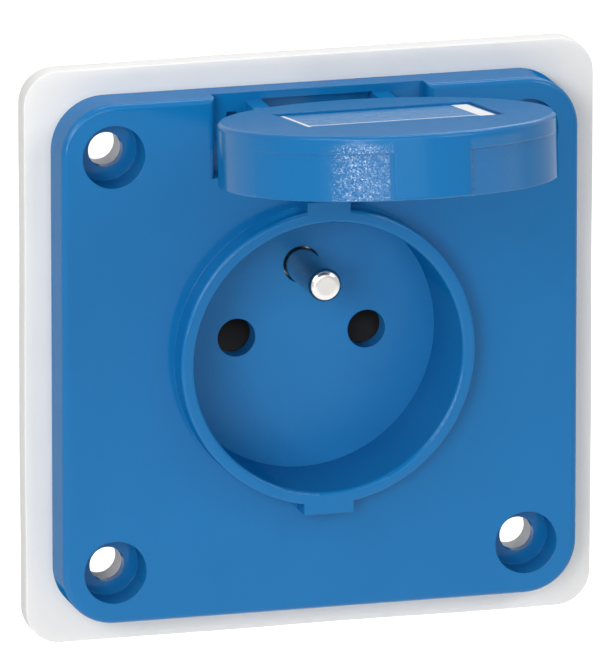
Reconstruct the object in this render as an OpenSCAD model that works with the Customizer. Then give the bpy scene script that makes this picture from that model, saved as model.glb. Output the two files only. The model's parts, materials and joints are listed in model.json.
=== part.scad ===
// Panel mount power socket: square plate on a soft gasket, round plug recess with an earth pin,
// flip lid hinged at the top and shown open. Millimetres. X to the right, Z up, the front faces -Y.
// The origin is the middle of the panel face, where the rear of the gasket rests.

/* [Plate] */
// Side of the square front plate
plate_w = 75; // [73:0.5:82]
// Thickness of the front plate
plate_t = 6.3; // [5.8:0.1:9]
// Radius of the plate's corners
plate_corner_r = 7.5; // [5:0.5:9]
// Rounding of the plate's front edges
plate_edge_r = 0.9; // [0.3:0.1:1.5]
// Wall that the hollow rear of the plate leaves
plate_skin = 2.4; // [1.6:0.1:3]
// Distance of the fixing holes from the plate's edges
screw_inset = 7.5; // [7:0.1:8.5]
// Diameter of the fixing holes
screw_hole_d = 5; // [4:0.1:5.6]
// Diameter of the counterbores
counterbore_d = 9; // [8:0.1:10]
// Depth of the counterbores
counterbore_depth = 4.8; // [2:0.1:5.2]

/* [Gasket] */
// Side of the square gasket
gasket_w = 83; // [80:0.5:95]
// Thickness of the gasket
gasket_t = 3.5; // [2.6:0.1:6]
// Radius of the gasket's corners
gasket_corner_r = 5; // [3:0.5:10]
// Rounding of the gasket's front edges
gasket_edge_r = 0.8; // [0.2:0.1:1.5]

/* [Socket] */
// Outer diameter of the raised ring
ring_d = 42.8; // [42:0.1:43.2]
// Thickness of the wall between the ring's outside and the plug recess
ring_wall = 1.95; // [1.6:0.05:2.8]
// Height of the ring above the plate
ring_rise = 3.9; // [2.5:0.1:4.5]
// Rounding of the ring's front edges
ring_edge_r = 0.5; // [0.2:0.1:0.8]
// Depth of the recess below the ring's front
recess_depth = 14.5; // [13:0.1:18]
// Thickness of the recess floor
floor_t = 3; // [2:0.1:4]
// Reach of the key tabs beyond the ring
tab_reach = 1.2; // [0.8:0.1:1.3]
// Width of the upper key tab
tab_top_w = 6.2; // [4:0.1:8]
// Width of the lower key tab
tab_bottom_w = 7.2; // [4:0.1:8]
// Distance between the two contact holes
pin_pitch = 19; // [18.5:0.1:19.5]
// Diameter of the contact holes
pin_hole_d = 5.5; // [5:0.1:6]
// Height of the earth pin above the contact holes
earth_up = 10; // [9.8:0.1:11]
// Diameter of the earth pin
earth_d = 4.8; // [4.5:0.1:5]
// Length of the earth pin above the recess floor
earth_len = 13.2; // [11:0.1:14]
// Thickness of the insert's cup round the recess wall
cup_wall = 1.6; // [1.2:0.1:2.2]
// Width of the insert's collar, from the ring's outside
collar_w = 6.4; // [6:0.1:7]
// Thickness of the insert's collar
collar_t = 2; // [1.6:0.1:2.5]

/* [Lid] */
// Clearance between the lid's skirt and the ring
lid_play = 0.6; // [0.4:0.1:1.2]
// Height of the lid, from its rim to its outer face
lid_h = 9; // [8.4:0.1:12]
// Thickness of the lid's top
lid_skin = 1.8; // [1.5:0.1:2.2]
// Thickness of the lid's skirt
lid_wall = 1.4; // [1.2:0.1:1.6]
// Rounding of the lid's outer edge
lid_edge_r = 0.6; // [0.3:0.1:1.2]
// Opening angle of the lid in the photograph's pose
lid_open = 97.5; // [90:0.5:98]
// Height of the recessed panels on the skirt
panel_h = 6.5; // [4:0.1:7]
// Depth of the recessed panels at their front step
panel_depth = 0.5; // [0.2:0.1:0.7]
// Width of the label
label_w = 28; // [20:0.5:32]
// Height of the label
label_h = 17.5; // [10:0.5:18]
// Distance from the lid's middle to the label's middle, towards the hinge
label_up = 2.5; // [0:0.5:3]
// Distance from the lid's middle to the label's middle, to the right
label_right = 1; // [0:0.1:2]
// Thickness of the label
label_t = 0.4; // [0.2:0.1:0.6]

/* [Hinge] */
// Distance of the hinge axis below the plate's upper edge
hinge_inset = 6.3; // [5.5:0.1:7]
// Distance of the hinge axis in front of the plate
hinge_out = 2.84; // [2.6:0.02:3.2]
// Diameter of the hinge pin
hinge_pin_d = 2; // [1.5:0.1:2.4]
// Width of the hinge pocket in the plate
pocket_w = 30.8; // [28.5:0.2:34]
// Depth of the hinge pocket
pocket_depth = 2.5; // [1.5:0.1:3]
// Height of the hinge pocket, from the plate's upper edge
pocket_h = 11.5; // [10:0.5:13]
// Width of the deep slot between the hinge ears
slot_w = 16; // [10:0.2:17]
// Depth of the deep slot
slot_depth = 4.8; // [3.4:0.1:5.2]
// Thickness of each hinge ear
ear_t = 2.5; // [2:0.1:3.2]
// Diameter of the hinge ears round the pin
ear_d = 4.8; // [4:0.1:5]
// Thickness of each lid arm
arm_t = 2.1; // [1.6:0.1:2.3]
// Diameter of the lid arms round the pin
arm_d = 5.2; // [4:0.1:5.2]

/* [Rear body] */
// Diameter of the rear body
carrier_d = 44; // [43:0.2:45]
// Length of the rear body behind the insert
carrier_len = 28; // [27:0.5:36]
// Width of the shutter
shutter_w = 27; // [26:0.2:28]
// Height of the shutter
shutter_h = 7; // [6.8:0.1:7.2]
// Travel of the shutter
shutter_travel = 6.4; // [6.2:0.1:6.8]
// Depth of the shutter chamber
chamber_depth = 4; // [3.6:0.1:5]
// Diameter of the shutter spring's coil
spring_d = 3.2; // [2.4:0.1:3.2]
// Wire diameter of the shutter spring
spring_wire = 0.4; // [0.3:0.05:0.5]
// Thickness of the contact strip
strip_t = 0.6; // [0.4:0.1:0.6]
// Length of the spring contacts
contact_len = 11.5; // [10:0.5:14]
// Side of the terminal blocks
terminal_w = 7.2; // [6.6:0.1:7.6]
// Length of the terminal blocks
terminal_len = 8.5; // [8:0.1:9.5]
// Diameter of the wire holes
wire_d = 3.4; // [2.5:0.1:3.6]

/* [Hidden] */
$fn = 96;

// Clearances
insert_gap = 0.2;
lid_gap = 0.3;
slide_gap = 0.3;
seat_gap = 0.15;
bore_gap = 0.05;
press_gap = 0.02;
cut = 1;

// Depths from front to back
plate_back = -gasket_t;
plate_front = plate_back - plate_t;
ring_front = plate_front - ring_rise;
floor_front = ring_front + recess_depth;
floor_back = floor_front + floor_t;
carrier_back = floor_back + carrier_len;
collar_back = plate_back + collar_t;

// Plate and socket
screw_pitch = plate_w - 2 * screw_inset;
screw_boss_d = 2 * screw_inset;
ring_r = ring_d / 2;
recess_r = ring_r - ring_wall;
cup_d = ring_d + 2 * insert_gap + 2 * cup_wall;
tab_r = ring_r + tab_reach;
tab_root = 1.5;
collar_d = ring_d + 2 * collar_w;
boss_ring_w = 1;
boss_ring_d = collar_d + 2 * boss_ring_w;
insert_screw_d = 2.6;
insert_screw_head_d = 5;
insert_screw_len = 5.5;
insert_screw_r = ring_r + collar_w / 2;
carrier_screw_d = 2.6;
carrier_screw_head_d = 4.6;
carrier_screw_head_h = 2;
carrier_screw_x = 8;
carrier_screw_inset = 5.8;
carrier_screw_z = carrier_screw_inset - carrier_d / 2;
insert_boss_d = 5.6;
insert_boss_h = 6;
earth_edge_r = 1.1;
earth_gap = 0.25;
earth_neck_step = 0.2;
earth_flange_step = 1.1;
earth_flange_d = earth_d + 2 * earth_flange_step;
earth_flange_t = 1.2;
earth_tail_d = 3;
earth_tail_over = 1;
earth_reach = 8.2;
earth_shoulder = floor_back + earth_reach;

// Hinge, with the lid's arms outside the plate's ears
hinge_y = plate_front - hinge_out;
hinge_up = plate_w / 2 - hinge_inset;
pocket_floor = plate_front + pocket_depth;
pocket_bottom = plate_w / 2 - pocket_h;
slot_edge = 1.1;
slot_top = plate_w / 2 - slot_edge;
slot_under = 1.7;
slot_bottom = pocket_bottom - slot_under;
ear_in = slot_w / 2;
ear_out = ear_in + ear_t;
ear_lean = 35;
ear_root = 0.6;
ear_edge = 1.25;
ear_top = plate_w / 2 - ear_edge;
arm_in = ear_out + slide_gap;
arm_out = arm_in + arm_t;
arm_well_out = arm_out + insert_gap;
arm_well_w = 1.5;
arm_well_edge = 2.7;
arm_well_top = plate_w / 2 - arm_well_edge;
arm_well_up = 2;
arm_root = 5.85;
hinge_pin_end = arm_out + slide_gap;

// Lid in its closed place, from which it swings open
lid_r = ring_r + lid_play + lid_wall;
lid_back = plate_front - lid_gap;
lid_inside = lid_h - lid_skin;
ring_in_lid = ring_rise - lid_gap;
rib_h = 1.6;
rib_over = 0.5;
rib_in_r = recess_r - rib_over;
seal_inset = 0.1;
rib_out_r = ring_r + seal_inset;
seal_gap = 0.2;
seal_in_r = rib_in_r + seal_inset;
seal_out_r = rib_out_r - seal_inset;
rim_edge_r = 0.4;
panel_from = 13.1;
panel_slope = 1.95;
panel_to = 68;
panel_over = 1.2;
rear_cut_gap = 0.8;
rear_cut_w = tab_top_w + 2 * rear_cut_gap;
tab_clear = 0.35;
label_rim = 0.15;
label_below = 0.35;
label_sink = label_t + label_below;

// Rear body
pin_x = pin_pitch / 2;
shutter_top = 3.4;
shutter_bottom = shutter_top - shutter_h;
shutter_lip = 0.5;
chamber_back = floor_back + chamber_depth;
chamber_room = 0.6;
chamber_bottom = shutter_bottom - shutter_travel - chamber_room;
chamber_top = shutter_top + chamber_room;
spring_room = 6.4;
spring_bottom = chamber_bottom - spring_room;
spring_turns = 7;
well_wall = 1.5;
well_front = chamber_back + well_wall;
well_w = terminal_w + 2 * seat_gap;
contact_setback = 0.5;
contact_front = well_front + contact_setback;
contact_back = contact_front + contact_len;
contact_w = 4.8;
terminal_back = contact_back + terminal_len;
terminal_mid = contact_back + terminal_len / 2;
terminal_screw_d = 2.5;
terminal_head_d = 4.2;
terminal_head_h = 1.6;
terminal_screw_len = (terminal_w - wire_d) / 2 - seat_gap;
access_gap = 0.5;
access_d = terminal_head_d + 2 * access_gap;
wire_end_wall = 1.5;
wire_depth = terminal_len - wire_end_wall;
strap_t = 0.8;
strap_w = 6;
strap_top = earth_up + terminal_w / 2 + strap_t;
nut_across = 5.5;
nut_h = 2.4;
driver_slot_w = 0.7;
driver_slot_depth = 0.7;

// Turns a shape that lies flat so that its top faces the front, with its base at depth y
module facing(y) {
    translate([0, y, 0]) rotate([90, 0, 0]) children();
}

// Disc between a front depth and a back depth
module disc(d, front, back, x = 0, z = 0) {
    translate([x, 0, z]) facing(back) cylinder(d = d, h = back - front);
}

// Outline in Y and Z, extruded along X
module across(x0, x1) {
    translate([x0, 0, 0]) rotate([90, 0, 90]) linear_extrude(x1 - x0) children();
}

// Box from two corners
module block(low, high) {
    translate(low) cube(high - low);
}

// Shape and its mirror image on the other side
module both_sides() {
    children();
    mirror([1, 0, 0]) children();
}

// Each of the four corners of a square pattern
module corners(pitch) {
    for (x = [-1, 1], y = [-1, 1]) {
        translate([x * pitch / 2, y * pitch / 2, 0]) children();
    }
}

// Square slab with round corners
module round_slab(w, r, h) {
    translate([-w / 2, r - w / 2, 0]) cube([w, w - 2 * r, h]);
    translate([r - w / 2, -w / 2, 0]) cube([w - 2 * r, w, h]);
    corners(w - 2 * r) cylinder(r = r, h = h);
}

// The same slab with its top edge rounded all the way round
module soft_slab(w, r, h, e) {
    round_slab(w, r, h - e);
    round_slab(w - 2 * e, r - e, h);
    for (a = [0 : 90 : 270]) {
        rotate([0, 0, a]) translate([w / 2 - e, r - w / 2, h - e])
            rotate([-90, 0, 0]) cylinder(r = e, h = w - 2 * r);
    }
    corners(w - 2 * r) translate([0, 0, h - e]) rotate_extrude() translate([r - e, 0]) circle(r = e);
}

// Half section of a round wall with two rounded top edges
module wall_section(inner, outer, h, e) {
    translate([inner, 0]) square([outer - inner, h - e]);
    translate([inner + e, 0]) square([outer - inner - 2 * e, h]);
    translate([inner + e, h - e]) circle(r = e);
    translate([outer - e, h - e]) circle(r = e);
}

// Half section of a solid cap with a rounded top edge
module cap_section(r, h, e) {
    square([r, h - e]);
    square([r - e, h]);
    translate([r - e, h - e]) circle(r = e);
}

// The same with a rounded lower edge
module lid_section(r, h, e, rim_e) {
    translate([0, rim_e]) cap_section(r, h - rim_e, e);
    square([r - rim_e, h / 2]);
    translate([r - rim_e, rim_e]) circle(r = rim_e);
}

// Machine screw along Z: the head's underside at zero, the shank below
module screw(d, len, head_d, head_h) {
    translate([0, 0, -len]) cylinder(d = d, h = len);
    difference() {
        cylinder(d = head_d, h = head_h);
        translate([-head_d / 2, -driver_slot_w / 2, head_h - driver_slot_depth])
            cube([head_d, driver_slot_w, driver_slot_depth + cut]);
    }
}

// Places a shape at the four collar screws
module at_insert_screws() {
    for (a = [45 : 90 : 315]) {
        translate([insert_screw_r * cos(a), 0, insert_screw_r * sin(a)]) children();
    }
}

// Places a shape at the two carrier screws
module at_carrier_screws() {
    for (s = [-1, 1]) {
        translate([s * carrier_screw_x, 0, carrier_screw_z]) children();
    }
}

// Swings the closed lid to its open pose
module opened() {
    translate([0, hinge_y, hinge_up]) rotate([-lid_open, 0, 0]) translate([0, -hinge_y, -hinge_up])
        children();
}

// Side view of one hinge ear: an eye round the pin and a block with a level top behind it
module ear_outline() {
    r = ear_d / 2;
    eye_y = hinge_y - r * cos(ear_lean);
    eye_z = hinge_up + r * sin(ear_lean);
    root = pocket_floor + ear_root;
    translate([hinge_y, hinge_up]) circle(d = ear_d);
    polygon([[root, hinge_up - r], [hinge_y, hinge_up - r], [eye_y, eye_z],
        [eye_y + (ear_top - eye_z) * tan(ear_lean), ear_top], [root, ear_top]]);
}

// Pocket for the hinge, open at the plate's upper edge, with rounded side edges
module hinge_pocket() {
    half = pocket_w / 2;
    front = plate_front - cut;
    top = plate_w / 2 + cut;
    e = plate_edge_r;
    block([-half, front, pocket_bottom], [half, pocket_floor, top]);
    both_sides() difference() {
        block([half - cut, front, pocket_bottom], [half + e, plate_front + e, top]);
        translate([half + e, plate_front + e, pocket_bottom - cut])
            cylinder(r = e, h = top - pocket_bottom + 2 * cut);
    }
    block([-slot_w / 2, front, slot_bottom], [slot_w / 2, plate_front + slot_depth, slot_top]);
    both_sides() block([arm_well_out - arm_well_w, front, pocket_bottom + arm_well_up],
        [arm_well_out, plate_front + slot_depth, arm_well_top]);
}

// Hollow in the rear of the plate, clear of the bosses and of the hinge
module plate_hollow() {
    facing(plate_back + cut) difference() {
        round_slab(plate_w - 2 * plate_skin, plate_corner_r - plate_skin, plate_t - plate_skin + cut);
        cylinder(d = boss_ring_d, h = plate_t);
        corners(screw_pitch) cylinder(d = screw_boss_d, h = plate_t);
        translate([-pocket_w / 2 - plate_skin, 0, 0])
            cube([pocket_w + 2 * plate_skin, plate_w / 2, plate_t]);
    }
}

// Wall of the plug recess, which rises from the plate as a ring with two key tabs
module recess_wall() {
    facing(floor_front) rotate_extrude()
        wall_section(recess_r, ring_r, floor_front - ring_front, ring_edge_r);
    block([-tab_top_w / 2, ring_front, ring_r - tab_root], [tab_top_w / 2, plate_back, tab_r]);
    block([-tab_bottom_w / 2, ring_front, -tab_r], [tab_bottom_w / 2, plate_back, tab_root - ring_r]);
}

module front_plate() {
    color("steelblue") difference() {
        union() {
            difference() {
                facing(plate_back) soft_slab(plate_w, plate_corner_r, plate_t, plate_edge_r);
                disc(2 * recess_r + ring_edge_r, plate_front - cut, plate_back + cut);
                hinge_pocket();
                plate_hollow();
            }
            both_sides() across(ear_in, ear_out) ear_outline();
            recess_wall();
        }
        for (x = [-1, 1], z = [-1, 1]) {
            disc(screw_hole_d, plate_front - cut, plate_back + cut, x * screw_pitch / 2, z * screw_pitch / 2);
            disc(counterbore_d, plate_front - cut, plate_front + counterbore_depth,
                x * screw_pitch / 2, z * screw_pitch / 2);
        }
        at_insert_screws() disc(insert_screw_d + 2 * press_gap, collar_back - insert_screw_len - slide_gap,
            plate_back + cut);
        translate([-ear_out - cut, hinge_y, hinge_up]) rotate([0, 90, 0])
            cylinder(d = hinge_pin_d + 2 * press_gap, h = 2 * (ear_out + cut));
    }
}

module panel_gasket() {
    color("whitesmoke") difference() {
        facing(0) soft_slab(gasket_w, gasket_corner_r, gasket_t, gasket_edge_r);
        disc(collar_d + 2 * slide_gap, plate_back - cut, cut);
        for (x = [-1, 1], z = [-1, 1]) {
            disc(screw_hole_d, plate_back - cut, cut, x * screw_pitch / 2, z * screw_pitch / 2);
        }
    }
}

module socket_insert() {
    color("steelblue") difference() {
        union() {
            disc(cup_d, plate_back, floor_back);
            disc(collar_d, plate_back, collar_back);
            at_carrier_screws() disc(insert_boss_d, floor_front + cut, floor_back + insert_boss_h);
        }
        disc(ring_d + 2 * insert_gap, plate_back - cut, floor_front);
        for (s = [-1, 1]) {
            disc(pin_hole_d, floor_front - cut, floor_back + cut, s * pin_x);
        }
        disc(earth_d + 2 * earth_gap, floor_front - cut, floor_back + cut, 0, earth_up);
        at_insert_screws() {
            disc(insert_screw_d + 2 * bore_gap, plate_back - cut, collar_back + cut);
            facing(collar_back) cylinder(d1 = insert_screw_head_d + 2 * bore_gap,
                d2 = insert_screw_d + 2 * bore_gap, h = (insert_screw_head_d - insert_screw_d) / 2);
        }
        at_carrier_screws() disc(carrier_screw_d + 2 * press_gap, floor_front + cut,
            floor_back + insert_boss_h + cut);
    }
}

module insert_screws() {
    color("silver") at_insert_screws() facing(collar_back) difference() {
        union() {
            cylinder(d1 = insert_screw_head_d, d2 = insert_screw_d,
                h = (insert_screw_head_d - insert_screw_d) / 2);
            cylinder(d = insert_screw_d, h = insert_screw_len);
        }
        translate([-insert_screw_head_d / 2, -driver_slot_w / 2, -cut])
            cube([insert_screw_head_d, driver_slot_w, driver_slot_depth + cut]);
    }
}

// Side view of one lid arm in the closed place: an eye round the pin and a web to the lid
module arm_outline() {
    r = arm_d / 2;
    web_root = lid_r - arm_root;
    translate([hinge_y, hinge_up]) circle(d = arm_d);
    polygon([[hinge_y + r, hinge_up], [lid_back - lid_gap, web_root],
        [lid_back - lid_inside, web_root], [hinge_y - r, hinge_up]]);
}

// Point at a distance from the lid's axis, turned from the free end towards the right
function on_rim(r, angle) = [r * sin(angle), -r * cos(angle)];

// Recessed panel right of the free end: a sloped step and a floor that runs out to the side
module side_panel() {
    step_out = on_rim(lid_r, panel_from);
    step_in = on_rim(lid_r - panel_depth, panel_from + panel_slope);
    shift = panel_depth / cos(90 - panel_to + panel_from + panel_slope);
    far = panel_over * lid_r;
    translate([0, 0, -cut]) linear_extrude(panel_h + cut) difference() {
        polygon([2 * step_out - step_in, on_rim(far, (panel_from + panel_to) / 2),
            on_rim(far, panel_from + panel_to), 2 * step_in - step_out]);
        translate(-on_rim(shift, panel_to - 90)) circle(r = lid_r);
    }
}

module lid_closed() {
    difference() {
        union() {
            facing(lid_back) rotate_extrude() lid_section(lid_r, lid_h, lid_edge_r, rim_edge_r);
            both_sides() across(arm_in, arm_out) arm_outline();
        }
        facing(lid_back) {
            translate([0, 0, -cut]) cylinder(r = lid_r - lid_wall, h = lid_inside + cut);
            both_sides() side_panel();
            translate([-rear_cut_w / 2, lid_r - 2 * lid_wall, -cut])
                cube([rear_cut_w, 3 * lid_wall, ring_in_lid + 2 * lid_gap + cut]);
            translate([-tab_bottom_w / 2 - tab_clear, -tab_r - tab_clear, -cut])
                cube([tab_bottom_w + 2 * tab_clear, 2 * lid_wall, ring_in_lid + 2 * lid_gap + cut]);
            translate([label_right - label_w / 2 - label_rim, label_up - label_h / 2 - label_rim,
                lid_h - label_sink])
                cube([label_w + 2 * label_rim, label_h + 2 * label_rim, label_sink + cut]);
        }
        translate([-arm_out - cut, hinge_y, hinge_up]) rotate([0, 90, 0])
            cylinder(d = hinge_pin_d + 2 * bore_gap, h = 2 * (arm_out + cut));
    }
    facing(lid_back) translate([0, 0, lid_inside - rib_h]) difference() {
        cylinder(r = rib_out_r, h = rib_h + lid_skin / 4);
        translate([0, 0, -cut]) cylinder(r = rib_in_r, h = rib_h + lid_skin + cut);
    }
}

module lid() {
    color("steelblue") opened() lid_closed();
}

module lid_seal() {
    seal_front = ring_in_lid + seal_gap;
    color("dimgray") opened() facing(lid_back) translate([0, 0, seal_front]) difference() {
        cylinder(r = seal_out_r, h = lid_inside - rib_h - seal_front);
        translate([0, 0, -cut]) cylinder(r = seal_in_r, h = lid_inside + 2 * cut);
    }
}

module lid_label() {
    color("white") opened() facing(lid_back)
        translate([label_right - label_w / 2, label_up - label_h / 2, lid_h - label_sink])
        cube([label_w, label_h, label_t]);
}

module hinge_pin() {
    color("silver") translate([-hinge_pin_end, hinge_y, hinge_up]) rotate([0, 90, 0])
        cylinder(d = hinge_pin_d, h = 2 * hinge_pin_end);
}

module earth_pin() {
    tip = floor_front - earth_len;
    tail_end = earth_shoulder + strap_t + nut_h + earth_tail_over;
    color("gainsboro") translate([0, 0, earth_up]) {
        facing(floor_front) rotate_extrude() cap_section(earth_d / 2, floor_front - tip, earth_edge_r);
        disc(earth_d - 2 * earth_neck_step, floor_front - cut, floor_back + cut);
        disc(earth_flange_d, floor_back, floor_back + earth_flange_t);
        disc(earth_d, floor_back, earth_shoulder);
        disc(earth_tail_d, earth_shoulder - cut, tail_end);
    }
}

module earth_nut() {
    front = earth_shoulder + strap_t;
    color("silver") translate([0, 0, earth_up]) difference() {
        facing(front + nut_h) cylinder(d = nut_across / cos(30), h = nut_h, $fn = 6);
        disc(earth_tail_d + 2 * press_gap, front - cut, front + nut_h + cut);
    }
}

module earth_strap() {
    back = terminal_back - terminal_len / 4;
    color("goldenrod") difference() {
        union() {
            block([-strap_w / 2, earth_shoulder, earth_up - strap_w / 2],
                [strap_w / 2, earth_shoulder + strap_t, strap_top]);
            block([-strap_w / 2, earth_shoulder, strap_top - strap_t], [strap_w / 2, back, strap_top]);
        }
        disc(earth_tail_d + 2 * press_gap, earth_shoulder - cut, earth_shoulder + strap_t + cut, 0, earth_up);
        translate([0, terminal_mid, strap_top - strap_t - cut])
            cylinder(d = terminal_screw_d + 2 * bore_gap, h = strap_t + 2 * cut);
    }
}

// Square well for a terminal, open to the rear
module terminal_well(x, z, front) {
    block([x - well_w / 2, front, z - well_w / 2], [x + well_w / 2, carrier_back + cut, z + well_w / 2]);
}

// Opening over a terminal's screw: a round hole that runs out to the rear
module screw_access() {
    cylinder(d = access_d, h = carrier_d);
    translate([-access_d / 2, 0, 0]) cube([access_d, carrier_back + cut - terminal_mid, carrier_d]);
}

module contact_carrier() {
    chamber_w = shutter_w + 2 * slide_gap;
    spring_w = spring_d + 2 * slide_gap;
    color("darkslategray") difference() {
        disc(carrier_d, floor_back, carrier_back);
        block([-chamber_w / 2, floor_back - cut, chamber_bottom], [chamber_w / 2, chamber_back, chamber_top]);
        block([-spring_w / 2, floor_back - cut, spring_bottom],
            [spring_w / 2, chamber_back, chamber_bottom + cut]);
        for (s = [-1, 1]) {
            disc(pin_hole_d, chamber_back - cut, well_front + cut, s * pin_x);
            terminal_well(s * pin_x, 0, well_front);
            translate([s * pin_x, terminal_mid, 0]) rotate([0, s * 90, 0]) screw_access();
        }
        disc(earth_d + 2 * bore_gap, floor_back - cut, earth_shoulder + cut, 0, earth_up);
        disc(earth_flange_d + 2 * seat_gap, floor_back - cut, floor_back + earth_flange_t + seat_gap,
            0, earth_up);
        terminal_well(0, earth_up, earth_shoulder);
        block([-strap_w / 2 - seat_gap, earth_shoulder, earth_up],
            [strap_w / 2 + seat_gap, carrier_back + cut, strap_top + seat_gap]);
        translate([0, terminal_mid, earth_up]) screw_access();
        at_carrier_screws() {
            disc(insert_boss_d + 2 * seat_gap, floor_back - cut, floor_back + insert_boss_h + seat_gap);
            disc(carrier_screw_d + 2 * bore_gap, floor_back, carrier_back);
            disc(carrier_screw_head_d + 2 * seat_gap, chamber_back + insert_boss_h, carrier_back + cut);
        }
    }
}

module carrier_screws() {
    seat = chamber_back + insert_boss_h;
    color("silver") at_carrier_screws() translate([0, seat, 0]) rotate([-90, 0, 0])
        screw(carrier_screw_d, seat - floor_back - seat_gap, carrier_screw_head_d, carrier_screw_head_h);
}

module shutter() {
    front = floor_back + slide_gap;
    back = chamber_back - slide_gap;
    color([0.06, 0.06, 0.06]) across(-shutter_w / 2, shutter_w / 2)
        polygon([[front, shutter_bottom], [back, shutter_bottom], [back, shutter_top],
            [back - shutter_lip, shutter_top], [front, shutter_bottom + 2 * shutter_lip]]);
}

// Level slice through a coil of round wire, which curves along the coil
module wire_slice(r, wire, pitch) {
    half_angle = 180 * wire / pitch;
    polygon([for (t = [0 : 45 : 315])
        (r + wire / 2 * cos(t)) * [cos(half_angle * sin(t)), sin(half_angle * sin(t))]]);
}

module shutter_spring() {
    length = shutter_bottom - spring_bottom;
    color("silver") translate([0, (floor_back + chamber_back) / 2, spring_bottom])
        linear_extrude(length, twist = -360 * spring_turns, slices = 16 * spring_turns, $fn = 8)
        wire_slice((spring_d - spring_wire) / 2, spring_wire, length / spring_turns);
}

// Spring clip for one pin of the plug: two blades with flared lips on a base
module contact_clip(x) {
    inner = earth_d / 2 + bore_gap;
    outer = inner + strip_t;
    lip = terminal_w / 2;
    neck = contact_front + 2 * strip_t;
    color("goldenrod") across(x - contact_w / 2, x + contact_w / 2)
        polygon([[contact_front, lip - strip_t], [contact_front, lip], [neck, outer],
            [contact_back, outer], [contact_back, -outer], [neck, -outer],
            [contact_front, -lip], [contact_front, strip_t - lip], [neck, -inner],
            [contact_back - strip_t, -inner], [contact_back - strip_t, inner], [neck, inner]]);
}

module contact_left() {
    contact_clip(-pin_x);
}

module contact_right() {
    contact_clip(pin_x);
}

// Brass cage block with a wire hole from the rear and a screw hole towards the given side
module terminal_block(x, z, turn) {
    half = terminal_w / 2;
    color("darkgoldenrod") difference() {
        block([x - half, contact_back, z - half], [x + half, terminal_back, z + half]);
        disc(wire_d, terminal_back - wire_depth, terminal_back + cut, x, z);
        translate([x, terminal_mid, z]) rotate(turn)
            cylinder(d = terminal_screw_d + 2 * press_gap, h = terminal_w);
    }
}

module terminal_left() {
    terminal_block(-pin_x, 0, [0, -90, 0]);
}

module terminal_right() {
    terminal_block(pin_x, 0, [0, 90, 0]);
}

module terminal_earth() {
    terminal_block(0, earth_up, [0, 0, 0]);
}

module terminal_screws() {
    half = terminal_w / 2;
    color("silver") {
        for (s = [-1, 1]) {
            translate([s * (pin_x + half), terminal_mid, 0]) rotate([0, s * 90, 0])
                screw(terminal_screw_d, terminal_screw_len, terminal_head_d, terminal_head_h);
        }
        translate([0, terminal_mid, strap_top])
            screw(terminal_screw_d, terminal_screw_len + strap_t, terminal_head_d, terminal_head_h);
    }
}

front_plate();
panel_gasket();
socket_insert();
insert_screws();
lid();
lid_seal();
lid_label();
hinge_pin();
earth_pin();
earth_nut();
earth_strap();
contact_carrier();
carrier_screws();
shutter();
shutter_spring();
contact_left();
contact_right();
terminal_left();
terminal_right();
terminal_earth();
terminal_screws();
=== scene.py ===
import json
import math

import bmesh
import bpy
from mathutils import Matrix, Vector, noise


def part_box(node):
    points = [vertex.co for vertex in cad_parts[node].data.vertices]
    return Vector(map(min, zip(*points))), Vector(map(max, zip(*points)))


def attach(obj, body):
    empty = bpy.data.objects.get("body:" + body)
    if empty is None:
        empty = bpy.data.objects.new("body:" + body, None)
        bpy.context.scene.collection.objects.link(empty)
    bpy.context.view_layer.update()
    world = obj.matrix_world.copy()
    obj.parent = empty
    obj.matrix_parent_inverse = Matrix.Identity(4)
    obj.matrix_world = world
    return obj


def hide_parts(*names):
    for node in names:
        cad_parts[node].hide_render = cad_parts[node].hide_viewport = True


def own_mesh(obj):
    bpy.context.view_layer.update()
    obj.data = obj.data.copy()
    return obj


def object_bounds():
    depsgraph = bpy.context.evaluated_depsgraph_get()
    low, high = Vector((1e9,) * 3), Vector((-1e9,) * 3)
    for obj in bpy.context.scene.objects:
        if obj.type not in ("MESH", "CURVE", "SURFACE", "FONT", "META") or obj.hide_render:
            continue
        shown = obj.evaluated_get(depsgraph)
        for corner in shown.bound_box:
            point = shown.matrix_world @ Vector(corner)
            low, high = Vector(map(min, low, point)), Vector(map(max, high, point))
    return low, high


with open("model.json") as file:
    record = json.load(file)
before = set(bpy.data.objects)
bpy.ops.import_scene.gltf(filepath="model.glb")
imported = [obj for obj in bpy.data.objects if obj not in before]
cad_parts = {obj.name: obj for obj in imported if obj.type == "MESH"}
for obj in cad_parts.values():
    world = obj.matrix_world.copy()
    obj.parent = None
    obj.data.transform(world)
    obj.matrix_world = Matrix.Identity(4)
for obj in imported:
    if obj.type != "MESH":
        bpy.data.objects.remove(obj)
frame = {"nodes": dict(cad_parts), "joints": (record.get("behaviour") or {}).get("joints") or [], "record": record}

CAD_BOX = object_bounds()
MM = 0.001
RECORD = frame["record"]
NODES = frame["nodes"]

# Camera: the view of the photograph, as a far camera with a long lens
PHOTO_LONG_SIDE = 668
SENSOR = 36.0
FOCAL_PIXELS = 14271.0
CAMERA_DISTANCE = 2.0
CAMERA_YAW = math.radians(15.534)
CAMERA_PITCH = math.radians(14.588)
CAMERA_TARGET = Vector((-3.163, -9.8, 2.743)) * MM

# Studio
FLOOR_BELOW = 0.30
FLOOR_SIZE = 12.0
FLOOR_GLOW = 0.82
FLOOR_WHITE = (0.82, 0.82, 0.82, 1)
WHITE = (1, 1, 1, 1)
AMBIENT = 0.17

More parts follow.
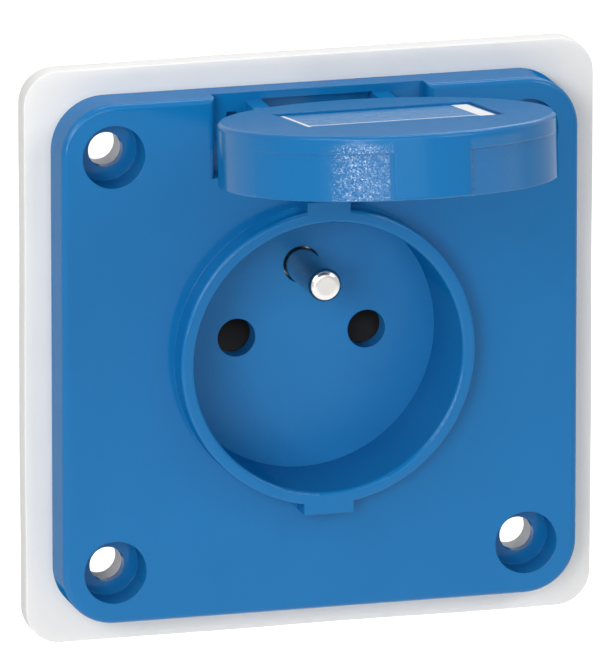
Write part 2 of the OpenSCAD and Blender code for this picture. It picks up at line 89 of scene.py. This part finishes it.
# Gasket
GASKET_CORNER = 5.0 * MM
GASKET_FRONT_EDGE = 0.15 * MM
GASKET_REAR_EDGE = 0.4 * MM
GASKET_WAVE = 0.14 * MM
GASKET_WAVE_LENGTH = 22 * MM
GASKET_FACE_WAVE = 0.5
GASKET_RIM_SEED = 1.7
GASKET_FACE_SEED = 6.1
COLLAR_ROOM = 0.3 * MM
GASKET_SIDE_STEPS = 44
GASKET_CORNER_STEPS = 14
GASKET_RINGS = 12
EDGE_STEPS = 5
HOLE_STEPS = 64
SHARP_ANGLE = math.radians(40)

# Facets on the lid's skirt: their size and lean, and where they lie
FACET = 0.12 * MM
FACET_LEAN = 0.28
FACET_POLISH = 0.11
FACET_GLOSS = 1.2
FACETS_FROM = 5.4 * MM
FACETS_TO = 12.5 * MM
FACETS_FADE = 2.5 * MM
FACET_EDGE = 0.2 * MM
FACET_DEPTH = 0.25 * MM
FACET_DEPTH_HALF = 0.40 * MM
FACET_DEPTH_EDGE = 0.05 * MM
FACET_HEIGHT = 6.0 * MM
FACET_HEIGHT_HALF = 4.6 * MM
FACET_HEIGHT_EDGE = 0.5 * MM

# Shader helpers
NOISE_LOW = 0.3
NOISE_HIGH = 0.7
BEVEL_SAMPLES = 6
RELIEF_STRENGTH = 0.5
GLOSS_FADES_FROM = 0.45

# Moulded plastic
CLOUD = 9 * MM
CLOUD_DEPTH = 0.07
SHEEN_PATCH = 2.5 * MM
SHEEN_SPREAD = 0.03
MOULD_EDGE = 0.22 * MM
MOULD_WAVE = 4 * MM
MOULD_WAVE_HEIGHT = 0.001 * MM
GRAIN = 0.3 * MM
PLASTIC_GLOSS = 0.20
PLASTIC_IOR = 1.5

# Metal and label film: uneven polish, and how far marks are drawn out
METAL_SPREAD = 0.06
METAL_MARKS = (1, 14, 1)
LABEL_STREAKS = (1, 9, 9)

# Label print: plain lines
LINE_T = 0.03 * MM
LINE_INSET = 0.9 * MM
LINE_W = 0.45 * MM
THIN_LINE_INSET = 3.5 * MM
THIN_LINE_W = 0.3 * MM
BAR_INSET = 0.45 * MM
BAR_W = 2.2 * MM

# Colours, linear
BLUE = (0.004, 0.145, 0.385)
# The insert's blue is the plate's same moulding painted lighter: painted light that lifts the shade in the deep
# recess.
INSERT_BLUE_PAINTED_LIGHTER = (0.016, 0.186, 0.455)
LABEL_BLUE = (0.040, 0.190, 0.430)
PRINT_WHITE = (0.74, 0.75, 0.77)
GASKET_WHITE = (0.785, 0.780, 0.768)
NICKEL = (0.62, 0.605, 0.585)
STEEL = (0.60, 0.60, 0.61)
BRASS = (0.74, 0.53, 0.22)
CARRIER_BLACK = (0.040, 0.041, 0.045)
SHUTTER_BLACK = (0.012, 0.012, 0.013)
SEAL_BLACK = (0.025, 0.025, 0.026)


class Tree:
    """Short calls that add nodes to one material and link them."""

    def __init__(self, name):
        self.material = bpy.data.materials.new(name)
        self.material.use_nodes = True
        self.nodes = self.material.node_tree.nodes
        self.links = self.material.node_tree.links
        self.shader = self.nodes["Principled BSDF"]
        self.place = self.add("ShaderNodeTexCoord").outputs["Object"]

    def add(self, kind, values=None, links=None, **settings):
        """New node with the given settings, and values or links on its inputs."""
        made = self.nodes.new(kind)
        for key, value in settings.items():
            setattr(made, key, value)
        for key, value in (values or {}).items():
            made.inputs[key].default_value = value
        for key, socket in (links or {}).items():
            self.links.new(socket, made.inputs[key])
        return made

    def noise(self, size, detail=2.0, place=None):
        """Noise whose features are about the given size, in metres."""
        values = {"Scale": 1 / size, "Detail": detail}
        made = self.add("ShaderNodeTexNoise", values, {"Vector": place or self.place})
        return made.outputs["Fac"]

    def spread(self, socket, low, high):
        """Maps a value round a half to the range from low to high."""
        values = {"From Min": NOISE_LOW, "From Max": NOISE_HIGH, "To Min": low, "To Max": high}
        return self.add("ShaderNodeMapRange", values, {"Value": socket}).outputs["Result"]

    def band(self, socket, middle, half, soft):
        """One where the value lies within half of the middle, zero beyond a soft edge."""
        away = self.math("ABSOLUTE", self.math("SUBTRACT", socket, middle))
        values = {"From Min": half, "From Max": half + soft, "To Min": 1.0, "To Max": 0.0}
        return self.add("ShaderNodeMapRange", values, {"Value": away}).outputs["Result"]

    def math(self, operation, first, second=None):
        """One sum on sockets or plain numbers."""
        made = self.add("ShaderNodeMath", operation=operation)
        for index, value in enumerate((first, second)):
            if isinstance(value, bpy.types.NodeSocket):
                self.links.new(value, made.inputs[index])
            elif value is not None:
                made.inputs[index].default_value = value
        return made.outputs["Value"]

    def shaded(self, colour, depth, mask):
        """The colour, made darker by up to depth where the mask is high."""
        dark = [c * (1 - depth) for c in colour]
        made = self.add("ShaderNodeMix", data_type="RGBA")
        made.inputs["A"].default_value = (*colour, 1)
        made.inputs["B"].default_value = (*dark, 1)
        self.links.new(mask, made.inputs["Factor"])
        return made.outputs["Result"]

    def relief(self, height, distance, below=None, strength=RELIEF_STRENGTH):
        """Bump from a height map over another normal, as high as the distance."""
        links = {"Height": height}
        if below:
            links["Normal"] = below
        values = {"Distance": distance, "Strength": strength}
        return self.add("ShaderNodeBump", values, links).outputs["Normal"]

    def soft_edges(self, radius):
        """Normal that rounds the edges by the given radius."""
        return self.add("ShaderNodeBevel", {"Radius": radius}, samples=BEVEL_SAMPLES).outputs["Normal"]

    def gloss(self, level, fade):
        """Gloss that fades to none where a satin surface is seen at a shallow angle."""
        facing = self.add("ShaderNodeLayerWeight", {"Blend": 0.5}).outputs["Facing"]
        values = {"From Min": GLOSS_FADES_FROM, "From Max": fade, "To Min": level, "To Max": 0.0}
        return self.add("ShaderNodeMapRange", values, {"Value": facing}).outputs["Result"]

    def set(self, values=None, links=None):
        """Values and links of the shader itself."""
        for key, value in (values or {}).items():
            self.shader.inputs[key].default_value = value
        for key, socket in (links or {}).items():
            self.links.new(socket, self.shader.inputs[key])
        return self.material


def hinge_turn():
    """Turn that opens the closed lid, and the hinge's place."""
    joint = next(j for j in frame["joints"] if j["name"] == "lid_hinge")
    return -math.radians(joint["range_deg"][1]), Vector(joint["pos_m"])


LID_TURN, HINGE = hinge_turn()
OPEN_LID = (Matrix.Translation(HINGE) @ Matrix.Rotation(LID_TURN, 4, "X")
            @ Matrix.Translation(-HINGE))


def closed_box(node):
    """Lowest and highest corners of a lid node in the closed lid's place."""
    points = [OPEN_LID.inverted() @ v.co for v in NODES[node].data.vertices]
    return (Vector([min(p[i] for p in points) for i in range(3)]),
            Vector([max(p[i] for p in points) for i in range(3)]))


def moulded_plastic(name, colour, roughness, grain, fade):
    """Moulded plastic: faint clouds of tone, uneven sheen and a fine grain."""
    tree = Tree(name)
    clouds = tree.noise(CLOUD, detail=3.0)
    patches = tree.noise(SHEEN_PATCH, detail=4.0)
    sheen = tree.spread(patches, roughness - SHEEN_SPREAD, roughness + SHEEN_SPREAD)
    edges = tree.soft_edges(MOULD_EDGE)
    waves = tree.relief(tree.noise(MOULD_WAVE, detail=1.0), MOULD_WAVE_HEIGHT, edges)
    normal = tree.relief(tree.noise(GRAIN, detail=2.0), grain, waves)
    tree.set({"IOR": PLASTIC_IOR},
             {"Base Color": tree.shaded(colour, CLOUD_DEPTH, clouds), "Roughness": sheen,
              "Specular IOR Level": tree.gloss(PLASTIC_GLOSS, fade), "Normal": normal})
    return tree


def blue_plastic(name, colour, roughness):
    """Satin blue plastic, as on the plate, and on the insert in a copy painted lighter, as painted light that
    lifts the shade in its deep recess.
    """
    return moulded_plastic(name, colour, roughness, grain=0.001 * MM, fade=0.85).material


def lid_plastic():
    """The same blue, with fine facets from the eroded mould beside the skirt's middle, which glint."""
    tree = moulded_plastic("lid_plastic", BLUE, roughness=0.20, grain=0.0008 * MM, fade=0.890)
    low, high = closed_box("lid")
    closed = tree.add("ShaderNodeVectorRotate", {"Center": HINGE, "Angle": -LID_TURN},
                      {"Vector": tree.place}, rotation_type="X_AXIS").outputs["Vector"]
    flat = tree.add("ShaderNodeVectorMath", {1: (1, 0, 1)}, {0: closed}, operation="MULTIPLY")
    radius = tree.add("ShaderNodeVectorMath", operation="LENGTH",
                      links={0: flat.outputs["Vector"]}).outputs["Value"]
    axes = tree.add("ShaderNodeSeparateXYZ", links={"Vector": closed}).outputs
    outside = tree.band(radius, high.x - FACET_DEPTH, FACET_DEPTH_HALF, FACET_DEPTH_EDGE)
    level = tree.band(axes["Y"], low.y + FACET_HEIGHT, FACET_HEIGHT_HALF, FACET_HEIGHT_EDGE)
    skirt = tree.math("MULTIPLY", outside, level)
    middle = tree.band(axes["X"], 0.0, FACETS_FROM, FACET_EDGE)
    skirt = tree.math("MULTIPLY", skirt, tree.math("SUBTRACT", 1.0, middle))
    skirt = tree.math("MULTIPLY", skirt, tree.band(axes["X"], 0.0, FACETS_TO, FACETS_FADE))
    cells = tree.add("ShaderNodeTexVoronoi", {"Scale": 1 / FACET}, {"Vector": tree.place})
    lean = tree.add("ShaderNodeVectorMath", {1: (0.5, 0.5, 0.5)}, {0: cells.outputs["Color"]},
                    operation="SUBTRACT").outputs["Vector"]
    amount = tree.math("MULTIPLY", skirt, FACET_LEAN)
    scaled = tree.add("ShaderNodeVectorMath", {}, {0: lean, "Scale": amount},
                      operation="SCALE").outputs["Vector"]
    plain = {key: tree.shader.inputs[key].links[0].from_socket
             for key in ("Normal", "Roughness", "Specular IOR Level")}
    tilted = tree.add("ShaderNodeVectorMath", {}, {0: plain["Normal"], 1: scaled},
                      operation="ADD").outputs["Vector"]
    normal = tree.add("ShaderNodeVectorMath", {}, {0: tilted}, operation="NORMALIZE").outputs["Vector"]
    polish = tree.math("MULTIPLY", skirt, FACET_POLISH)
    polished = tree.math("SUBTRACT", plain["Roughness"], polish)
    gain = tree.math("ADD", tree.math("MULTIPLY", skirt, FACET_GLOSS), 1.0)
    brighter = tree.math("MULTIPLY", plain["Specular IOR Level"], gain)
    tree.set(None, {"Normal": normal, "Roughness": polished, "Specular IOR Level": brighter})
    return tree.material


def gasket_foam():
    """Soft white sheet that lets some light through."""
    tree = Tree("gasket_foam")
    clouds = tree.noise(size=12 * MM, detail=3.0)
    normal = tree.relief(tree.noise(size=0.5 * MM, detail=4.0), distance=0.03 * MM)
    sheen = tree.spread(tree.noise(size=3 * MM, detail=3.0), low=0.52, high=0.66)
    return tree.set({"IOR": 1.42, "Subsurface Weight": 0.3, "Subsurface Scale": 1.2 * MM,
                     "Subsurface Radius": (1.0, 1.0, 1.0)},
                    {"Base Color": tree.shaded(GASKET_WHITE, depth=0.06, mask=clouds), "Roughness": sheen,
                     "Specular IOR Level": tree.gloss(level=0.2, fade=0.7), "Normal": normal})


def metal(name, colour, roughness, scratch):
    """Plated or plain metal with fine marks and uneven polish."""
    tree = Tree(name)
    clouds = tree.noise(size=2.0 * MM, detail=4.0)
    stretched = tree.add("ShaderNodeMapping", {"Scale": METAL_MARKS}, {"Vector": tree.place})
    marks = tree.noise(size=0.35 * MM, detail=3.0, place=stretched.outputs["Vector"])
    sheen = tree.spread(clouds, roughness - METAL_SPREAD, roughness + METAL_SPREAD)
    normal = tree.relief(marks, scratch, tree.soft_edges(radius=0.10 * MM))
    return tree.set({"Metallic": 1.0},
                    {"Base Color": tree.shaded(colour, depth=0.16, mask=clouds),
                     "Roughness": sheen, "Normal": normal})


def rubber(name, colour):
    """Matt rubber with fine specks."""
    tree = Tree(name)
    specks = tree.noise(size=0.3 * MM, detail=4.0)
    normal = tree.relief(specks, distance=0.02 * MM, below=tree.soft_edges(radius=0.15 * MM), strength=0.6)
    return tree.set({"IOR": 1.45}, {"Base Color": tree.shaded(colour, depth=0.3, mask=specks),
                                    "Roughness": tree.spread(specks, low=0.6, high=0.8), "Normal": normal})


def label_film():
    """Smooth film with faint rolled streaks."""
    tree = Tree("label_film")
    along = tree.add("ShaderNodeMapping", {"Scale": LABEL_STREAKS}, {"Vector": tree.place})
    streaks = tree.noise(size=2.0 * MM, detail=3.0, place=along.outputs["Vector"])
    normal = tree.relief(streaks, distance=0.002 * MM)
    return tree.set({"IOR": PLASTIC_IOR},
                    {"Base Color": tree.shaded(LABEL_BLUE, depth=0.05, mask=streaks),
                     "Roughness": tree.spread(streaks, low=0.24, high=0.32),
                     "Specular IOR Level": tree.gloss(level=0.22, fade=0.92), "Normal": normal})


def label_print():
    """White ink, a little worn."""
    tree = Tree("label_print")
    worn = tree.noise(size=0.8 * MM, detail=5.0)
    return tree.set({"IOR": PLASTIC_IOR}, {"Base Color": tree.shaded(PRINT_WHITE, depth=0.12, mask=worn),
                                           "Roughness": tree.spread(worn, low=0.35, high=0.5)})


def new_piece(name, mesh, body, material):
    """A visible piece that rides on a body."""
    piece = bpy.data.objects.new(name, mesh)
    bpy.context.scene.collection.objects.link(piece)
    mesh.materials.clear()
    mesh.materials.append(material)
    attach(piece, body)
    return piece


def rounded_square(half, corner, side_steps, corner_steps):
    """Points and outward directions round a square with round corners, in X and Z."""
    points = []
    inner = half - corner
    for quarter in range(4):
        turn = Matrix.Rotation(quarter * math.pi / 2, 2)
        for i in range(side_steps):
            along = inner * (2 * i / side_steps - 1)
            points.append((turn @ Vector((half, along)), turn @ Vector((1, 0))))
        for i in range(corner_steps):
            angle = math.pi / 2 * i / corner_steps
            out = Vector((math.cos(angle), math.sin(angle)))
            points.append((turn @ (Vector((inner, inner)) + corner * out), turn @ out))
    return points


def gasket_profile(front, back):
    """Section of the rim as pairs of inset and depth, from the front face round to the rear face."""
    section = []
    for i in range(EDGE_STEPS + 1):
        angle = math.pi / 2 * i / EDGE_STEPS
        section.append((GASKET_FRONT_EDGE * (1 - math.sin(angle)),
                        front + GASKET_FRONT_EDGE * (1 - math.cos(angle))))
    for i in range(EDGE_STEPS + 1):
        angle = math.pi / 2 * i / EDGE_STEPS
        section.append((GASKET_REAR_EDGE * (1 - math.cos(angle)),
                        back - GASKET_REAR_EDGE * (1 - math.sin(angle))))
    return section


def gasket_mesh(half, front, back, hole_r):
    """Soft sheet with a wavy rim and a round hole in the middle."""
    outline = rounded_square(half - GASKET_WAVE, GASKET_CORNER, GASKET_SIDE_STEPS, GASKET_CORNER_STEPS)
    section = gasket_profile(front, back)
    made = bmesh.new()
    loops = []

    def ring(places):
        loops.append([made.verts.new((p.x, y, p.y)) for p, y in places])

    def wave(point, seed):
        place = point / GASKET_WAVE_LENGTH
        return GASKET_WAVE * noise.noise(Vector((place.x, place.y, seed)))

    rims = [p.normalized() * hole_r for p, _ in outline]
    ring([(p, back) for p in rims])
    ring([(p, front) for p in rims])
    inset, depth = section[0]
    for i in range(1, GASKET_RINGS):
        t = i / GASKET_RINGS
        ring([(r.lerp(p - inset * out, t), depth) for r, (p, out) in zip(rims, outline)])
    for inset, depth in section:
        lift = GASKET_FACE_WAVE if depth < back / 2 + front / 2 else 0.0
        ring([(p - (inset + wave(p, GASKET_RIM_SEED)) * out, depth + lift * wave(p, GASKET_FACE_SEED))
              for p, out in outline])
    inset, depth = section[-1]
    for i in range(1, GASKET_RINGS):
        t = 1 - i / GASKET_RINGS
        ring([(r.lerp(p - inset * out, t), depth) for r, (p, out) in zip(rims, outline)])
    count = len(outline)
    for index, loop in enumerate(loops):
        after = loops[(index + 1) % len(loops)]
        for i in range(count):
            j = (i + 1) % count
            made.faces.new((loop[i], loop[j], after[j], after[i]))
    bmesh.ops.recalc_face_normals(made, faces=made.faces)
    mesh = bpy.data.meshes.new("gasket_sheet")
    made.to_mesh(mesh)
    made.free()
    return mesh


def drilled(mesh, places, radius, front, back):
    """The mesh with round holes cut through it from front to back."""
    made = bmesh.new()
    for x, z in places:
        middle = Matrix.Translation((x, (front + back) / 2, z)) @ Matrix.Rotation(math.pi / 2, 4, "X")
        bmesh.ops.create_cone(made, cap_ends=True, segments=HOLE_STEPS, radius1=radius, radius2=radius,
                              depth=4 * (back - front), matrix=middle)
    cutter_mesh = bpy.data.meshes.new("drill")
    made.to_mesh(cutter_mesh)
    made.free()
    cutter = bpy.data.objects.new("drill", cutter_mesh)
    blank = bpy.data.objects.new("blank", mesh)
    for obj in (cutter, blank):
        bpy.context.scene.collection.objects.link(obj)
    cut = blank.modifiers.new("holes", "BOOLEAN")
    cut.object = cutter
    cut.operation = "DIFFERENCE"
    cut.solver = "EXACT"
    graph = bpy.context.evaluated_depsgraph_get()
    result = bpy.data.meshes.new_from_object(blank.evaluated_get(graph))
    for obj in (cutter, blank):
        bpy.data.objects.remove(obj)
    bpy.data.meshes.remove(cutter_mesh)
    for face in result.polygons:
        face.use_smooth = True
    result.set_sharp_from_angle(angle=SHARP_ANGLE)
    return result


def gasket(material):
    """The white sheet behind the plate, drilled for the panel screws, in place of the plain solid."""
    low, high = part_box("panel_gasket")
    collar_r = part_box("socket_insert")[1].x
    holes = next(m for m in RECORD["mounts"] if m["name"] == "panel_holes")["dims"]
    x, z = holes["spacing_x_mm"] * MM / 2, holes["spacing_y_mm"] * MM / 2
    places = [(i * x, k * z) for i in (-1, 1) for k in (-1, 1)]
    sheet = gasket_mesh(high.x, low.y, high.y, collar_r + COLLAR_ROOM)
    mesh = drilled(sheet, places, holes["hole_r_mm"] * MM, low.y, high.y)
    piece = new_piece("gasket_soft", mesh, "base", material)
    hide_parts("panel_gasket")


def spring(material):
    """The shutter's spring, as a piece of its own on the base; the real one shortens as the shutter slides down on
    it.
    """
    piece = new_piece("spring_coil", NODES["shutter_spring"].data.copy(), "base", material)
    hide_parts("shutter_spring")
    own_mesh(piece)


def label_lines(material):
    """A line along the left and the front of the label, and a plain bar at its end."""
    low, high = closed_box("lid_label")
    line, bar, thin = low.x + LINE_INSET, high.x - BAR_INSET - BAR_W, low.z + THIN_LINE_INSET
    z0, z1 = low.z + LINE_W, high.z - LINE_W
    strips = [(line, line + LINE_W, z0, z1), (bar, bar + BAR_W, z0, z1),
              (line + LINE_W, bar, thin, thin + THIN_LINE_W)]
    made = bmesh.new()
    for a, b, c, d in strips:
        middle = Vector(((a + b) / 2, low.y - LINE_T / 2, (c + d) / 2))
        size = Matrix.Diagonal((b - a, LINE_T, d - c, 1))
        bmesh.ops.create_cube(made, size=1.0, matrix=OPEN_LID @ Matrix.Translation(middle) @ size)
    mesh = bpy.data.meshes.new("label_lines")
    made.to_mesh(mesh)
    made.free()
    new_piece("label_lines", mesh, "lid", material)


def dress_nodes():
    """Gives every CAD node the material of its slot, but the lid its own and the insert a blue painted lighter, as
    painted light that lifts the shade in the recess.
    """
    own = {"lid": lid_plastic(),
           # The insert gets the blue painted lighter, as painted light against the shade in its recess.
           "socket_insert": blue_plastic("insert_plastic_painted_lighter", INSERT_BLUE_PAINTED_LIGHTER, roughness=0.32)}
    finishes = {
        "blue_plastic": blue_plastic("blue_plastic", BLUE, roughness=0.16),
        "gasket_foam": gasket_foam(),
        "seal_rubber": rubber("seal_rubber", SEAL_BLACK),
        "label": label_film(),
        "nickel": metal("nickel", NICKEL, roughness=0.20, scratch=0.006 * MM),
        "steel": metal("steel", STEEL, roughness=0.32, scratch=0.010 * MM),
        "brass": metal("brass", BRASS, roughness=0.30, scratch=0.010 * MM),
        "carrier_plastic": moulded_plastic("carrier_plastic", CARRIER_BLACK, roughness=0.48,
                                           grain=0.014 * MM, fade=0.9).material,
        "shutter_plastic": moulded_plastic("shutter_plastic", SHUTTER_BLACK, roughness=0.45,
                                           grain=0.012 * MM, fade=0.9).material,
    }
    for row in RECORD["subparts"]:
        mesh = NODES[row["node"]].data
        mesh.materials.clear()
        mesh.materials.append(own.get(row["node"], finishes[row["material_slot"]]))
    return finishes


def camera():
    """The photograph's view, from a far camera aimed at the socket."""
    data = bpy.data.cameras.new("camera")
    data.sensor_width = SENSOR
    data.lens = FOCAL_PIXELS * SENSOR / PHOTO_LONG_SIDE
    made = bpy.data.objects.new("camera", data)
    bpy.context.scene.collection.objects.link(made)
    away = Vector((-math.sin(CAMERA_YAW) * math.cos(CAMERA_PITCH),
                   -math.cos(CAMERA_YAW) * math.cos(CAMERA_PITCH), math.sin(CAMERA_PITCH)))
    made.location = CAMERA_TARGET + CAMERA_DISTANCE * away
    made.rotation_euler = away.to_track_quat("Z", "Y").to_euler()
    bpy.context.scene.camera = made


def seen_directly(nodes, links):
    """One for camera, glossy and transmission rays."""
    rays = nodes.new("ShaderNodeLightPath").outputs
    seen = rays["Is Camera Ray"]
    for kind in ("Is Glossy Ray", "Is Transmission Ray"):
        either = nodes.new("ShaderNodeMath")
        either.operation = "MAXIMUM"
        links.new(seen, either.inputs[0])
        links.new(rays[kind], either.inputs[1])
        seen = either.outputs["Value"]
    return seen


def white_world():
    """World that is white where it is seen and gives only a little light."""
    world = bpy.data.worlds.new("studio")
    bpy.context.scene.world = world
    world.use_nodes = True
    nodes, links = world.node_tree.nodes, world.node_tree.links
    background = nodes["Background"]
    background.inputs["Color"].default_value = WHITE
    strength = nodes.new("ShaderNodeMapRange")
    strength.inputs["To Min"].default_value = AMBIENT
    strength.inputs["To Max"].default_value = 1.0
    links.new(seen_directly(nodes, links), strength.inputs["Value"])
    links.new(strength.outputs["Result"], background.inputs["Strength"])


def floor():
    """Pale floor, brighter where it is seen so that it meets the white background."""
    made = bmesh.new()
    bmesh.ops.create_grid(made, x_segments=1, y_segments=1, size=FLOOR_SIZE / 2,
                          matrix=Matrix.Translation((0, 0, CAD_BOX[0][2] - FLOOR_BELOW)))
    mesh = bpy.data.meshes.new("floor")
    made.to_mesh(mesh)
    made.free()
    piece = bpy.data.objects.new("floor", mesh)
    bpy.context.scene.collection.objects.link(piece)
    tree = Tree("floor")
    tree.set({"Base Color": FLOOR_WHITE, "Roughness": 0.9, "Emission Color": WHITE})
    glow = tree.add("ShaderNodeMapRange", {"To Min": 0.0, "To Max": FLOOR_GLOW},
                    {"Value": seen_directly(tree.nodes, tree.links)})
    tree.set(None, {"Emission Strength": glow.outputs["Result"]})
    mesh.materials.append(tree.material)


def softbox(name, yaw, height, distance, size, power):
    """Area lamp at angles from the front in degrees, aimed at the socket and unseen by the camera."""
    data = bpy.data.lights.new(name, "AREA")
    data.shape = "RECTANGLE"
    data.size, data.size_y = size
    data.energy = power
    lamp = bpy.data.objects.new(name, data)
    bpy.context.scene.collection.objects.link(lamp)
    yaw, height = math.radians(yaw), math.radians(height)
    away = Vector((math.sin(yaw) * math.cos(height), -math.cos(yaw) * math.cos(height), math.sin(height)))
    lamp.location = away * distance
    lamp.rotation_euler = away.to_track_quat("Z", "Y").to_euler()
    lamp.visible_camera = False


finishes = dress_nodes()
gasket(finishes["gasket_foam"])
spring(finishes["steel"])
label_lines(label_print())
camera()
white_world()
floor()
softbox("key", yaw=-34, height=15, distance=1.2, size=(0.45, 0.45), power=4.8)
softbox("side", yaw=-62, height=32, distance=1.2, size=(0.6, 0.6), power=4.4)
softbox("lens", yaw=-8, height=15, distance=1.4, size=(0.9, 0.6), power=3.8)
softbox("right", yaw=42, height=32, distance=1.4, size=(0.6, 0.6), power=4.6)
softbox("top", yaw=100, height=75, distance=1.2, size=(0.14, 1.2), power=7.6)
softbox("rear", yaw=142, height=36, distance=1.4, size=(0.8, 0.8), power=5.5)
softbox("spark", yaw=-34, height=-1, distance=1.2, size=(0.10, 0.10), power=0.9)
bpy.context.scene.view_settings.view_transform = "Standard"
